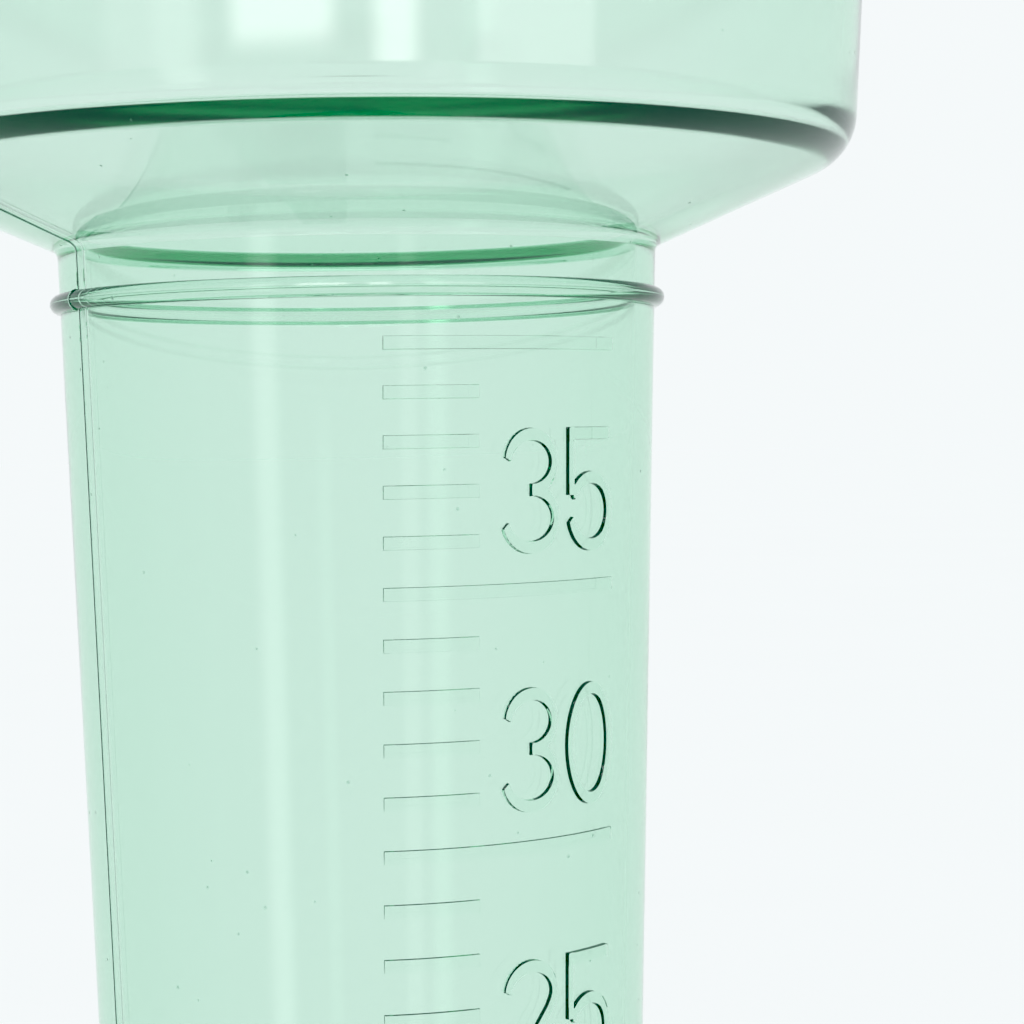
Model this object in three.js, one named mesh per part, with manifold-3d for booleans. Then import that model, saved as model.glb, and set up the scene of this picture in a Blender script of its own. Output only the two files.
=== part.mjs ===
// Manual rain gauge: a one-piece moulded collector and measuring tube, a drop-in evaporation funnel
// with a leaf strainer, and a wall bracket that the tube stands in.
// Millimetres, +Z up. The origin is the centre of the wall plate's back face, and the gauge stands
// in front of the wall, towards -Y. The tube's graduated side faces -Y.
import * as THREE from 'three';
import { mergeVertices } from 'three/addons/utils/BufferGeometryUtils.js';
import Module from 'manifold-3d';

const wasm = await Module();
wasm.setup();

// Places of the two centre lines
const AXIS_TO_WALL = 50;
const BEAD_HEIGHT = 140;

// Clearances
const GAP = 0.3;
const SLIDE_GAP = 0.4;

// Measuring vessel; heights are counted from the centre of the bead below the shoulder
const WALL = 1.5;
const TUBE_RADIUS = 23.13;
const TUBE_TAPER = 0.0314;
const BEAD_PROUD = 0.8;
const BEAD_HALF_HEIGHT = 0.8;
const NECK_TOP = 4.02;
const SHOULDER_ANGLE = THREE.MathUtils.degToRad(23.5);
const CORNER_RADIUS = 38.72;
const CORNER_HEIGHT = 10.77;
const COLLECTOR_DRAFT = 0.0601;
const RIM_HEIGHT = 54;
const CORNER_FILLET = 4.34;
const INNER_CORNER_FILLET = 1.36;
const NECK_INNER_FILLET = 1.95;
const FLOOR_HEIGHT = -184.6;
const FOOT_HEIGHT = -190;
const FOOT_RECESS = 3.2;

// Evaporation funnel and leaf strainer
const FUNNEL_WALL = 1.4;
const FUNNEL_TOP = 48;
const FUNNEL_SKIRT_BOTTOM = 40;
const THROAT_TOP = 30;
const THROAT_BOTTOM = 25.5;
const THROAT_RADIUS = 5.2;
const STRAINER_RADIUS = 13.5;
const STRAINER_RING = 2.2;
const STRAINER_HEIGHT = 3.2;
const STRAINER_RIBS = 12;
const KNOB_RADIUS = 3;
const KNOB_HEIGHT = 8;

// Holder: a spring clip that is open at the front, a cup below it and an arm to the wall plate
const CLIP_BOTTOM = -112;
const CLIP_TOP = -96;
const CLIP_WALL = 2.8;
const CLIP_OPENING = THREE.MathUtils.degToRad(104);
const LIP_RADIUS = 2.1;
const CUP_WALL = 2.6;
const CUP_FLOOR = 3;
const CUP_DEPTH = 11;
const DRAIN_RADIUS = 5;
const WEB_THICKNESS = 5;
const RIB_THICKNESS = 3;
const RIB_HALF_WIDTH = 13;
const FLANGE_HALF_WIDTH = 17;
const FLANGE_THICKNESS = 3.6;
const WINDOW_HEIGHT = 21;
const WINDOW_DEPTH = 9;

// Wall plate with a dovetail channel
const PLATE_WIDTH = 44;
const PLATE_HEIGHT = 112;
const PLATE_THICKNESS = 4;
const PLATE_CORNER = 7;
const RAIL_HEIGHT = 5;
const RAIL_HALF_LENGTH = 34;
const RAIL_OUTER = 17;
const CHANNEL_WIDE = 13;
const CHANNEL_NARROW = 10.4;
const STOP_HEIGHT = 4;

// Countersunk screws and wall plugs
const SCREW_HEIGHTS = { upper: 47, lower: -47 };
const SCREW_HEAD_RADIUS = 4;
const SCREW_SHANK_RADIUS = 1.7;
const SCREW_LENGTH = 28;
const SCREW_POINT = 4;
const RECESS_WIDTH = 1;
const RECESS_SPAN = 4.4;
const RECESS_DEPTH = 1.8;
const PLUG_RADIUS = 3;
const PLUG_LENGTH = 26;
const PLUG_SLOT = 0.9;
const PLUG_COLLAR = 5;
const PLUG_RELIEF = 1;

const LATHE_STEPS = 60;
const STRAINER_STEPS = 36;
const SMALL_STEPS = 20;

const finishes = {
  clearGreen: { color: 0xc4e8d6, roughness: 0.08, metalness: 0 },
  green: { color: 0x2f7d55, roughness: 0.42, metalness: 0 },
  steel: { color: 0xc9ccce, roughness: 0.3, metalness: 1 },
  nylon: { color: 0xb9bcbd, roughness: 0.6, metalness: 0 },
};

const tubeRadius = (height) => TUBE_RADIUS + TUBE_TAPER * height;
const collectorRadius = (height) => CORNER_RADIUS + COLLECTOR_DRAFT * (height - CORNER_HEIGHT);
const shoulderHeight = (radius) => CORNER_HEIGHT - (CORNER_RADIUS - radius) * Math.tan(SHOULDER_ANGLE);

// Half the dovetail channel's width at a distance in front of the plate's front face.
function channelHalfWidth(distance) {
  return CHANNEL_WIDE - ((CHANNEL_WIDE - CHANNEL_NARROW) * distance) / RAIL_HEIGHT;
}

// A closed mesh with shared vertices, as a solid that can be joined and cut.
function toSolid(geometry) {
  const bare = geometry.clone();
  bare.deleteAttribute('normal');
  bare.deleteAttribute('uv');
  const merged = mergeVertices(bare, 1e-4);
  const vertProperties = Float32Array.from(merged.attributes.position.array);
  const triVerts = Uint32Array.from(merged.index.array);
  return new wasm.Manifold(new wasm.Mesh({ numProp: 3, vertProperties, triVerts }));
}

function toGeometry(solid) {
  const mesh = solid.getMesh();
  const geometry = new THREE.BufferGeometry();
  geometry.setAttribute('position', new THREE.BufferAttribute(Float32Array.from(mesh.vertProperties), 3));
  geometry.setIndex(new THREE.BufferAttribute(Uint32Array.from(mesh.triVerts), 1));
  geometry.computeVertexNormals();
  return geometry;
}

const union = (solids) => solids.reduce((whole, piece) => whole.add(piece));

// A profile of [radius, height] points turned about the Z axis.
function lathe(profile, steps = LATHE_STEPS) {
  const points = profile.map(([radius, height]) => new THREE.Vector2(radius, height));
  return new THREE.LatheGeometry(points, steps).rotateX(Math.PI / 2);
}

// An outline in X and Y, raised along Z from a lower to an upper height.
function prism(outline, bottom, top) {
  const shape = new THREE.Shape(outline.map(([x, y]) => new THREE.Vector2(x, y)));
  const geometry = new THREE.ExtrudeGeometry(shape, { depth: top - bottom, bevelEnabled: false });
  return geometry.translate(0, 0, bottom);
}

function block(width, depth, height, x, y, z) {
  return new THREE.BoxGeometry(width, depth, height).translate(x, y, z);
}

// A rounded rectangle in X and Z, extruded along Y from front to back.
function roundedPlate(width, height, corner, front, back) {
  const x = width / 2 - corner;
  const z = height / 2 - corner;
  const shape = new THREE.Shape();
  shape.absarc(x, z, corner, 0, Math.PI / 2);
  shape.absarc(-x, z, corner, Math.PI / 2, Math.PI);
  shape.absarc(-x, -z, corner, Math.PI, 1.5 * Math.PI);
  shape.absarc(x, -z, corner, 1.5 * Math.PI, 2 * Math.PI);
  const options = { depth: back - front, bevelEnabled: false, curveSegments: 6 };
  return new THREE.ExtrudeGeometry(shape, options).rotateX(Math.PI / 2).translate(0, back, 0);
}

// Points of a fillet that rounds the corner b between a and c.
function fillet(a, b, c, radius, steps) {
  const corner = new THREE.Vector2(...b);
  const inward = new THREE.Vector2(...a).sub(corner).normalize();
  const outward = new THREE.Vector2(...c).sub(corner).normalize();
  const half = Math.acos(inward.dot(outward)) / 2;
  const reach = radius / Math.tan(half);
  const middle = inward.clone().add(outward).normalize().multiplyScalar(radius / Math.sin(half)).add(corner);
  const from = inward.multiplyScalar(reach).add(corner).sub(middle);
  const to = outward.multiplyScalar(reach).add(corner).sub(middle);
  const sweep = Math.atan2(from.x * to.y - from.y * to.x, from.dot(to));
  return Array.from({ length: steps + 1 }, (_, step) => {
    const point = from.clone().rotateAround(new THREE.Vector2(), (sweep * step) / steps).add(middle);
    return [point.x, point.y];
  });
}

// Points of the half-round bead, from its lower to its upper edge.
function beadPoints(steps) {
  return Array.from({ length: steps + 1 }, (_, step) => {
    const angle = Math.PI * (step / steps - 0.5);
    const height = BEAD_HALF_HEIGHT * Math.sin(angle);
    return [tubeRadius(height) + BEAD_PROUD * Math.cos(angle), height];
  });
}

// The vessel's profile runs up the outside from the foot to the rim and down the inside to the floor.
function vesselProfile() {
  const shoulderRise = WALL / Math.cos(SHOULDER_ANGLE);
  const innerTube = (height) => tubeRadius(height) - WALL;
  const innerCollector = (height) => collectorRadius(height) - WALL;
  const foot = [tubeRadius(FOOT_HEIGHT), FOOT_HEIGHT];
  const footRing = [foot[0] - 2.2 * WALL, FOOT_HEIGHT];
  const neck = [tubeRadius(NECK_TOP), NECK_TOP];
  const corner = [CORNER_RADIUS, CORNER_HEIGHT];
  const rimOuter = [collectorRadius(RIM_HEIGHT), RIM_HEIGHT];
  const rimInner = [innerCollector(RIM_HEIGHT), RIM_HEIGHT];
  const innerCornerHeight = CORNER_HEIGHT + shoulderRise - WALL * Math.tan(SHOULDER_ANGLE);
  const innerCorner = [innerCollector(innerCornerHeight), innerCornerHeight];
  const innerNeckHeight = shoulderHeight(innerTube(NECK_TOP)) + shoulderRise;
  const innerNeck = [innerTube(NECK_TOP), innerNeckHeight];
  const floorEdge = [innerTube(FLOOR_HEIGHT), FLOOR_HEIGHT];
  return [
    [0, FOOT_HEIGHT + FOOT_RECESS],
    [footRing[0] - 1.5, FOOT_HEIGHT + FOOT_RECESS],
    footRing,
    ...fillet(footRing, foot, beadPoints(1)[0], 1, 2),
    ...beadPoints(4),
    ...fillet(beadPoints(1)[1], neck, corner, 0.6, 1),
    ...fillet(neck, corner, rimOuter, CORNER_FILLET, 6),
    ...fillet(corner, rimOuter, rimInner, 0.5, 1),
    ...fillet(rimOuter, rimInner, innerCorner, 0.5, 1),
    ...fillet(rimInner, innerCorner, innerNeck, INNER_CORNER_FILLET, 2),
    ...fillet(innerCorner, innerNeck, floorEdge, NECK_INNER_FILLET, 3),
    ...fillet(innerNeck, floorEdge, [0, FLOOR_HEIGHT], 1.5, 2),
    [0, FLOOR_HEIGHT],
  ];
}

// The funnel wedges in the collector's draft below the rim, so the rim stays the catching edge.
function funnelProfile() {
  const outer = (height) => collectorRadius(height) - WALL - GAP;
  const bottom = outer(FUNNEL_SKIRT_BOTTOM);
  const throat = THROAT_RADIUS + FUNNEL_WALL;
  return [
    [THROAT_RADIUS, THROAT_BOTTOM],
    [throat, THROAT_BOTTOM],
    [throat, THROAT_TOP - FUNNEL_WALL],
    [bottom - 1, FUNNEL_SKIRT_BOTTOM - FUNNEL_WALL],
    [bottom, FUNNEL_SKIRT_BOTTOM],
    [outer(FUNNEL_TOP), FUNNEL_TOP],
    [outer(FUNNEL_TOP) - FUNNEL_WALL, FUNNEL_TOP],
    [bottom - FUNNEL_WALL, FUNNEL_SKIRT_BOTTOM + 0.8],
    [THROAT_RADIUS + 0.6, THROAT_TOP + 0.2],
    [THROAT_RADIUS, THROAT_TOP - 0.6],
    [THROAT_RADIUS, THROAT_BOTTOM],
  ];
}

// Height of the funnel's sloping inner face at a radius.
function funnelFace(radius) {
  const outerRadius = collectorRadius(FUNNEL_SKIRT_BOTTOM) - WALL - GAP - FUNNEL_WALL;
  const innerRadius = THROAT_RADIUS + 0.6;
  const innerHeight = THROAT_TOP + 0.2;
  const slope = (FUNNEL_SKIRT_BOTTOM + 0.8 - innerHeight) / (outerRadius - innerRadius);
  return innerHeight + slope * (radius - innerRadius);
}

// A ring with radial bars and a knob to lift it by, standing on the funnel's slope.
function strainer() {
  const base = funnelFace(STRAINER_RADIUS) + GAP;
  const inner = STRAINER_RADIUS - STRAINER_RING;
  const top = base + STRAINER_HEIGHT;
  const ring = lathe([
    [inner, base],
    [STRAINER_RADIUS, base],
    [STRAINER_RADIUS, top - 0.5],
    [STRAINER_RADIUS - 0.5, top],
    [inner, top],
    [inner, base],
  ], STRAINER_STEPS);
  const knobTop = base + KNOB_HEIGHT;
  const knob = lathe([
    [0, top - 1.4],
    [KNOB_RADIUS, top - 1.4],
    [KNOB_RADIUS, top + 0.4],
    [KNOB_RADIUS * 0.6, top + 1.6],
    [KNOB_RADIUS * 0.6, knobTop - 2.4],
    [KNOB_RADIUS, knobTop - 1.4],
    [KNOB_RADIUS, knobTop - 0.4],
    [KNOB_RADIUS - 0.4, knobTop],
    [0, knobTop],
  ], SMALL_STEPS);
  const length = inner + 1 - KNOB_RADIUS * 0.5;
  const middle = KNOB_RADIUS * 0.5 + length / 2;
  const solids = [toSolid(ring), toSolid(knob)];
  for (let rib = 0; rib < STRAINER_RIBS; rib += 1) {
    const bar = block(length, 1.1, 1.2, middle, 0, top - 0.75);
    bar.rotateZ((rib / STRAINER_RIBS) * 2 * Math.PI);
    solids.push(toSolid(bar));
  }
  return toGeometry(union(solids));
}

// A wedge in X and Y that opens towards -Y, used to cut the clip's mouth.
function mouthWedge(bottom, top) {
  const reach = 60;
  const half = CLIP_OPENING / 2;
  const side = reach * Math.tan(half);
  return toSolid(prism([[0, 0], [-side, -reach], [side, -reach]], bottom, top));
}

function ringSolid(inner, outer, bottom, top) {
  return toSolid(lathe([[inner, bottom], [outer, bottom], [outer, top], [inner, top], [inner, bottom]]));
}

// A spring clip with round lips beside its mouth.
function clipSolid() {
  const inner = tubeRadius(CLIP_TOP) + GAP;
  const outer = inner + CLIP_WALL;
  const middle = (inner + outer) / 2 + 0.5;
  const ring = ringSolid(inner, outer, CLIP_BOTTOM, CLIP_TOP).subtract(mouthWedge(CLIP_BOTTOM - 1, CLIP_TOP + 1));
  const lips = [-1, 1].map((side) => {
    const angle = (side * CLIP_OPENING) / 2;
    const lip = new THREE.CylinderGeometry(LIP_RADIUS, LIP_RADIUS, CLIP_TOP - CLIP_BOTTOM, 16);
    lip.rotateX(Math.PI / 2);
    lip.translate(middle * Math.sin(angle), -middle * Math.cos(angle), (CLIP_TOP + CLIP_BOTTOM) / 2);
    const bore = ringSolid(inner - 4, inner, CLIP_BOTTOM - 1, CLIP_TOP + 1);
    return toSolid(lip).subtract(bore);
  });
  return union([ring, ...lips]);
}

// A cup that the foot stands in, with a drain hole in its floor.
function cupSolid() {
  const inner = tubeRadius(FOOT_HEIGHT + CUP_DEPTH) + SLIDE_GAP;
  const outer = inner + CUP_WALL;
  const floorTop = FOOT_HEIGHT - GAP;
  const bottom = floorTop - CUP_FLOOR;
  const rim = FOOT_HEIGHT + CUP_DEPTH;
  return toSolid(lathe([
    [DRAIN_RADIUS, bottom],
    [outer - 1, bottom],
    [outer, bottom + 1],
    [outer, rim - 0.8],
    [outer - 0.8, rim],
    [inner + 0.6, rim],
    [inner, rim - 0.6],
    [inner, floorTop],
    [DRAIN_RADIUS, floorTop],
    [DRAIN_RADIUS, bottom],
  ]));
}

// A horizontal rib that spreads from the clip or cup to the flange.
function armRib(height, ringRadius) {
  const back = AXIS_TO_WALL - PLATE_THICKNESS - RAIL_HEIGHT - SLIDE_GAP - 1;
  const outline = [[-RIB_HALF_WIDTH, back], [-RIB_HALF_WIDTH + 4, 0.5 * back], [-ringRadius * 0.8, 8],
    [ringRadius * 0.8, 8], [RIB_HALF_WIDTH - 4, 0.5 * back], [RIB_HALF_WIDTH, back]];
  const bottom = height - RIB_THICKNESS / 2;
  const plate = toSolid(prism(outline.reverse(), bottom, bottom + RIB_THICKNESS));
  return plate.subtract(ringSolid(0.1, ringRadius, bottom - 1, bottom + RIB_THICKNESS + 1));
}

// The holder, about the tube's centre line. Its tongue slides down into the wall plate's channel.
function holder() {
  const clipInner = tubeRadius(CLIP_TOP) + GAP;
  const cupInner = tubeRadius(FOOT_HEIGHT + CUP_DEPTH) + SLIDE_GAP;
  const bottom = FOOT_HEIGHT - GAP - CUP_FLOOR;
  const height = CLIP_TOP - bottom;
  const middle = (CLIP_TOP + bottom) / 2;
  const tongueFront = AXIS_TO_WALL - PLATE_THICKNESS - RAIL_HEIGHT - SLIDE_GAP;
  const tongueBack = AXIS_TO_WALL - PLATE_THICKNESS - GAP;
  const flangeFront = tongueFront - FLANGE_THICKNESS;
  const root = tongueFront - 0.5;
  const narrow = channelHalfWidth(AXIS_TO_WALL - PLATE_THICKNESS - root) - SLIDE_GAP;
  const wide = channelHalfWidth(GAP) - SLIDE_GAP;
  const tongue = prism([[narrow, root], [wide, tongueBack], [-wide, tongueBack], [-narrow, root]],
    -BEAD_HEIGHT - RAIL_HALF_LENGTH + GAP, -BEAD_HEIGHT + RAIL_HALF_LENGTH - GAP);
  const flange = roundedPlate(2 * FLANGE_HALF_WIDTH, height, 5, flangeFront, tongueFront);
  flange.translate(0, 0, middle);
  const webFront = cupInner + 1;
  const web = block(WEB_THICKNESS, flangeFront + 1 - webFront, height, 0, (flangeFront + 1 + webFront) / 2, middle);
  const clearOfClip = ringSolid(0.1, clipInner + 0.4, CLIP_BOTTOM - 100, CLIP_TOP + 1);
  const windowMiddle = (clipInner + CLIP_WALL + flangeFront) / 2;
  const windows = [-1, 0, 1].map((row) => {
    const window = new THREE.ExtrudeGeometry(windowShape(), { depth: 30, bevelEnabled: false, curveSegments: 5 });
    window.rotateZ(Math.PI / 2).rotateY(Math.PI / 2);
    return toSolid(window.translate(-15, windowMiddle, middle + row * (WINDOW_HEIGHT + 5)));
  });
  const body = union([toSolid(flange), toSolid(web).subtract(clearOfClip)]).subtract(union(windows));
  const ribs = [armRib((CLIP_BOTTOM + CLIP_TOP) / 2, clipInner + 0.4), armRib(bottom + 4, cupInner + 0.4)];
  return toGeometry(union([body, toSolid(tongue), clipSolid(), cupSolid(), ...ribs]));
}

// A slot with round ends, long in X and narrow in Y.
function windowShape() {
  const radius = WINDOW_DEPTH / 2;
  const half = WINDOW_HEIGHT / 2 - radius;
  const shape = new THREE.Shape();
  shape.absarc(half, 0, radius, -Math.PI / 2, Math.PI / 2);
  shape.absarc(-half, 0, radius, Math.PI / 2, 1.5 * Math.PI);
  return shape;
}

// A cutter for one countersunk screw hole along Y through the plate, relieved at the back so that the
// plate lies flat over the mouth of the wall plug.
function screwHole(height) {
  const hole = SCREW_SHANK_RADIUS + SLIDE_GAP;
  const head = SCREW_HEAD_RADIUS + GAP;
  const relief = PLUG_RADIUS + SLIDE_GAP;
  const front = PLATE_THICKNESS;
  const cutter = lathe([[0, -1], [relief, -1], [relief, PLUG_RELIEF], [hole, PLUG_RELIEF],
    [hole, front - (head - hole)], [head, front], [head, front + 1], [0, front + 1]], SMALL_STEPS);
  return toSolid(cutter.rotateX(Math.PI / 2).translate(0, 0, height));
}

function wallPlate() {
  const front = -PLATE_THICKNESS;
  const railFront = front - RAIL_HEIGHT;
  const solids = [toSolid(roundedPlate(PLATE_WIDTH, PLATE_HEIGHT, PLATE_CORNER, front, 0))];
  for (const side of [-1, 1]) {
    const outline = [[side * CHANNEL_WIDE, front + 0.5], [side * RAIL_OUTER, front + 0.5],
      [side * RAIL_OUTER, railFront + 1], [side * (RAIL_OUTER - 1), railFront],
      [side * CHANNEL_NARROW, railFront], [side * CHANNEL_WIDE, front]];
    const ordered = side < 0 ? outline : outline.reverse();
    solids.push(toSolid(prism(ordered, -RAIL_HALF_LENGTH, RAIL_HALF_LENGTH)));
  }
  const stop = block(2 * RAIL_OUTER, RAIL_HEIGHT + 0.5, STOP_HEIGHT, 0, front + 0.25 - RAIL_HEIGHT / 2,
    -RAIL_HALF_LENGTH - STOP_HEIGHT / 2 + 0.001);
  solids.push(toSolid(stop));
  const holes = Object.values(SCREW_HEIGHTS).map(screwHole);
  return toGeometry(union(solids).subtract(union(holes)));
}

// A countersunk wood screw along Y, its head flush with the plate's front.
function screw() {
  const neck = SCREW_HEAD_RADIUS - SCREW_SHANK_RADIUS;
  const body = lathe([
    [0, 0],
    [SCREW_HEAD_RADIUS, 0],
    [SCREW_HEAD_RADIUS, -0.3],
    [SCREW_SHANK_RADIUS, -0.3 - neck],
    [SCREW_SHANK_RADIUS, -SCREW_LENGTH + SCREW_POINT],
    [0, -SCREW_LENGTH],
  ].reverse(), SMALL_STEPS);
  const cross = union([block(RECESS_SPAN, RECESS_WIDTH, 2 * RECESS_DEPTH, 0, 0, 0),
    block(RECESS_WIDTH, RECESS_SPAN, 2 * RECESS_DEPTH, 0, 0, 0)].map(toSolid));
  return toGeometry(toSolid(body).subtract(cross)).rotateX(Math.PI / 2).translate(0, -PLATE_THICKNESS, 0);
}

// A nylon wall plug along Y, open at the front, with a slot through its far half.
function plug() {
  const bore = SCREW_SHANK_RADIUS + GAP;
  const profile = [[bore, GAP], [PLUG_RADIUS, GAP]];
  for (let tooth = 0; tooth < 5; tooth += 1) {
    const start = PLUG_COLLAR + tooth * 3.6;
    profile.push([PLUG_RADIUS, start], [PLUG_RADIUS - 0.5, start + 0.4], [PLUG_RADIUS, start + 3.4]);
  }
  profile.push([PLUG_RADIUS - 0.8, PLUG_LENGTH], [bore, PLUG_LENGTH], [bore, GAP]);
  const slot = block(PLUG_SLOT, 8, PLUG_LENGTH, 0, 0, PLUG_COLLAR + 2 + PLUG_LENGTH / 2);
  const body = toSolid(lathe(profile, SMALL_STEPS)).subtract(toSolid(slot));
  return toGeometry(body).rotateX(-Math.PI / 2);
}

function named(name, geometry, finish) {
  const mesh = new THREE.Mesh(geometry, new THREE.MeshStandardMaterial(finishes[finish]));
  mesh.name = name;
  return mesh;
}

function gaugeGroup() {
  const group = new THREE.Group();
  group.position.set(0, -AXIS_TO_WALL, BEAD_HEIGHT);
  group.add(named('measuring_vessel', lathe(vesselProfile()), 'clearGreen'));
  group.add(named('evaporation_funnel', lathe(funnelProfile()), 'clearGreen'));
  group.add(named('leaf_strainer', strainer(), 'clearGreen'));
  group.add(named('holder', holder(), 'green'));
  return group;
}

function mountingGroup() {
  const group = new THREE.Group();
  group.add(named('wall_plate', wallPlate(), 'green'));
  for (const [place, height] of Object.entries(SCREW_HEIGHTS)) {
    const screwMesh = named(`${place}_screw`, screw(), 'steel');
    const plugMesh = named(`${place}_wall_plug`, plug(), 'nylon');
    screwMesh.position.z = height;
    plugMesh.position.z = height;
    group.add(screwMesh, plugMesh);
  }
  return group;
}

const rainGauge = new THREE.Group();
rainGauge.add(gaugeGroup(), mountingGroup());
export default rainGauge;
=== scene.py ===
"""Looks of a manual rain gauge: a clear green measuring vessel in a wall bracket, on a pale floor.

The vessel is worked out in millimetres about its own axis, with height 0 at the centre of the bead,
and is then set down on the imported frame. Azimuths are counted from the front of the graduated side,
which faces -Y, and grow towards +X.
"""
import math

import bmesh
import bpy
import numpy as np
from mathutils import Matrix, Vector
from mathutils.geometry import delaunay_2d_cdt


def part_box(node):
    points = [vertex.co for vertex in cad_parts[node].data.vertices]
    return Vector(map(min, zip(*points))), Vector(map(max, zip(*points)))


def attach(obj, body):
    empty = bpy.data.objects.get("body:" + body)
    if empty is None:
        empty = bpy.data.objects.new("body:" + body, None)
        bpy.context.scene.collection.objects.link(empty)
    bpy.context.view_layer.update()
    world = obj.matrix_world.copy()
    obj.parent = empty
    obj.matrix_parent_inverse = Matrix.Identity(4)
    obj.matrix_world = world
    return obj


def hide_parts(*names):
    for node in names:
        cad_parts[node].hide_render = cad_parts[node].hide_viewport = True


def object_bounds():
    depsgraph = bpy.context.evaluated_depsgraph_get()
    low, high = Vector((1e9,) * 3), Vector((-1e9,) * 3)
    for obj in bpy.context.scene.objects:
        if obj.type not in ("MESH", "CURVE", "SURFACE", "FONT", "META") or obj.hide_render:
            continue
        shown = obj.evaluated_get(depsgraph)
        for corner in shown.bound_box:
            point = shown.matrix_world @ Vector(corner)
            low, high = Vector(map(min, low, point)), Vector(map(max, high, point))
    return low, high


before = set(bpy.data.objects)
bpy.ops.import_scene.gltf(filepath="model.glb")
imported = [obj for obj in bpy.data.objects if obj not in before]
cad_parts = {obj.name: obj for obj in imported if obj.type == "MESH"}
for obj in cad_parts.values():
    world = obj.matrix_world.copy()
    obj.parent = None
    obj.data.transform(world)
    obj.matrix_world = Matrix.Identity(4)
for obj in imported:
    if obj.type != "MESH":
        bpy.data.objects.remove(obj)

CAD_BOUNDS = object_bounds()
MM = 0.001

# ---------------------------------------------------------------- places read from the frame
VESSEL_LOW, VESSEL_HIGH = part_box("measuring_vessel")
AXIS = Vector(((VESSEL_LOW.x + VESSEL_HIGH.x) / 2, (VESSEL_LOW.y + VESSEL_HIGH.y) / 2, 0))
FOOT = -190.0
BEAD_CENTRE = Vector((AXIS.x, AXIS.y, VESSEL_LOW.z - FOOT * MM))
RIM = (VESSEL_HIGH.z - BEAD_CENTRE.z) / MM

# ---------------------------------------------------------------- the vessel's driving dimensions, mm
WALL = 1.5
TUBE_RADIUS = 23.134
TAPER = 0.0314
BEAD_PROUD = 0.78
BEAD_HALF_HEIGHT = 0.74
NECK_TOP = 4.02
NECK_FILLET = 0.8
NECK_INNER_TOP = 5.11
NECK_INNER_FILLET = 1.95
CORNER_RADIUS = 38.72
CORNER_HEIGHT = 10.77
CORNER_FILLET = 4.34
COLLECTOR_DRAFT = 0.0601
INNER_CORNER_RADIUS = 37.59
INNER_CORNER_HEIGHT = 11.7
INNER_CORNER_FILLET = 1.36
FLOOR_HEIGHT = -184.63
FLOOR_FILLET = 1.5
FOOT_RECESS = 3.2
FOOT_RECESS_SLOPE = 1.5
FOOT_RECESS_FILLET = 0.6
FOOT_RING = 2.2 * WALL
FOOT_RING_FILLET = 0.5
FOOT_FILLET = 1.0
RIM_FILLET = 0.45
CATCH_AREA = 5000.0
SEAM_AZIMUTH = math.radians(-92.0)
SEAM_WIDTH = 0.16
# How far the parting ridge stands proud at its azimuth, and on the opposite side.
SEAM_HEIGHTS = (0.1, 0.006)

# ---------------------------------------------------------------- the raised scale, mm
# Places along the surface count from the scale's middle line; a flank is the width of a relief's slope.
BAR_HALF_LONG = 9.85
BAR_SHORT_END = -2.95
BAR_THICKNESS = 0.9
BAR_DROP = 0.4
BAR_RELIEF = 0.22
BAR_FLANK = 0.035
NUMERAL_RELIEF = 0.34
NUMERAL_FLANK = 0.05
STROKE = 0.84
SQUEEZE = 0.6
PEN = STROKE / 2
PEN_UPRIGHT = PEN * SQUEEZE
DIGIT_HEIGHT = 8.96
NUMERAL_RISE = 2.56
DIGIT_PLACES = (-1.08, 4.58)
GLYPH_BOX = ((-1, -1), (6, 10))
SCALE_DEPTH = 40
LONG_EVERY = 5
SCALE_BOTTOM = FOOT + 1.6
SCALE_TOP = -1.2

# ---------------------------------------------------------------- fineness of the meshes, mm or counts
TURN_STEPS = 240
PROFILE_STEP = 2.0
FUNNEL_STEP = 1.0
BEAD_STEPS = 12
FILLET_STEPS_PER_MM = 6
FEWEST_FILLET_STEPS = 5
MOST_FILLET_STEPS = 44
SCALE_ROWS = 64
KEEP_CLEAR = 0.3
RELIEF_MARGIN = 2.0
BAR_STEP = 0.8
GLYPH_GRID = 0.11
SHORTEST_EDGE = 0.4 * GLYPH_GRID
TILT_STEP = 0.006
POINT_DIGITS = 3
MERGE_DISTANCE = 1e-5
TINY = 1e-6


def tube_radius(height):
    return TUBE_RADIUS + TAPER * height


def collector_radius(height):
    return CORNER_RADIUS + COLLECTOR_DRAFT * (height - CORNER_HEIGHT)


# ---------------------------------------------------------------- camera
CAMERA_DISTANCE = 203.27
CAMERA_DROP = 10.5
CAMERA_AZIMUTH = math.radians(-28.5)
CAMERA_HEADING = 0.0576
CAMERA_TILT = -0.0301
CAMERA_ROLL = -0.0171
CAMERA_LENS = 90.75


def azimuth_direction(azimuth, rise=0.0):
    """A direction away from the vessel's axis, rise radians above the horizontal."""
    flat = math.cos(rise)
    return Vector((math.sin(azimuth) * flat, -math.cos(azimuth) * flat, math.sin(rise)))


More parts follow.
